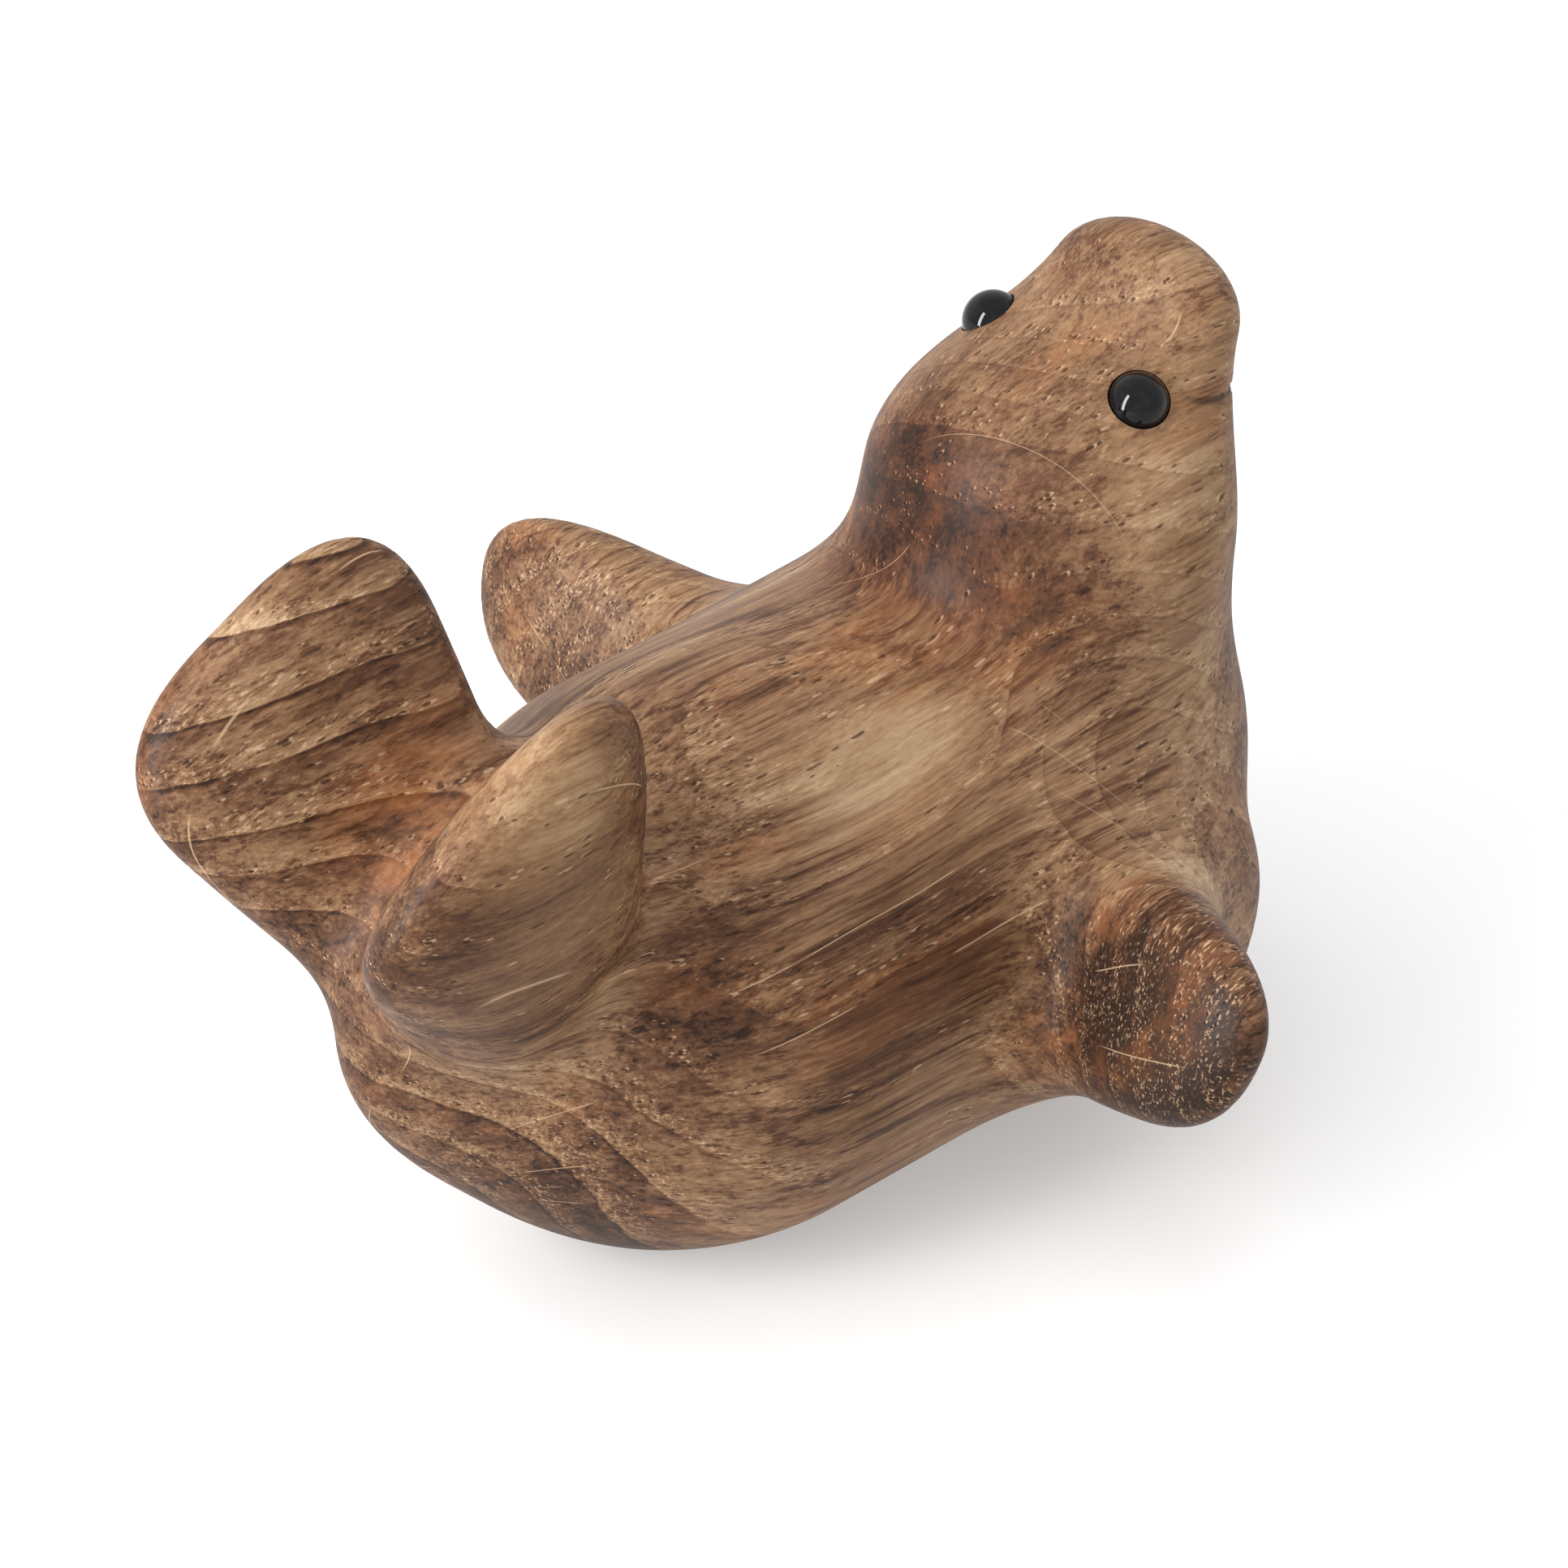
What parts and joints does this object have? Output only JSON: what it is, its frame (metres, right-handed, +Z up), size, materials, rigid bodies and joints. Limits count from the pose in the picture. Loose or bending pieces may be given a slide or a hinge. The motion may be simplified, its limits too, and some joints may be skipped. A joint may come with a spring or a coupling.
{
  "type": "wooden seal figurine",
  "caption": "Seal pup carved from a block of oiled oak, lying on its belly with its head and tail paddles raised; black glass bead eyes on steel pins.",
  "frame": {"origin": "on the surface the figure stands on, under the middle of its overall box", "axes": "+X towards the nose, along the overall length; +Y towards the seal's left side; +Z up, the shortest way through the overall box"},
  "size_m": [0.1142, 0.1104, 0.0829],
  "materials": {
    "oiled_oak": "oiled satin, open pores",
    "black_glass": "polished, opaque",
    "steel_wire": "drawn wire"
  },
  "bodies": {
    "root": {"carved_body": "oiled_oak", "left_eye_bead": "black_glass", "left_eye_pin": "steel_wire", "right_eye_bead": "black_glass", "right_eye_pin": "steel_wire"}
  },
  "joints": []
}
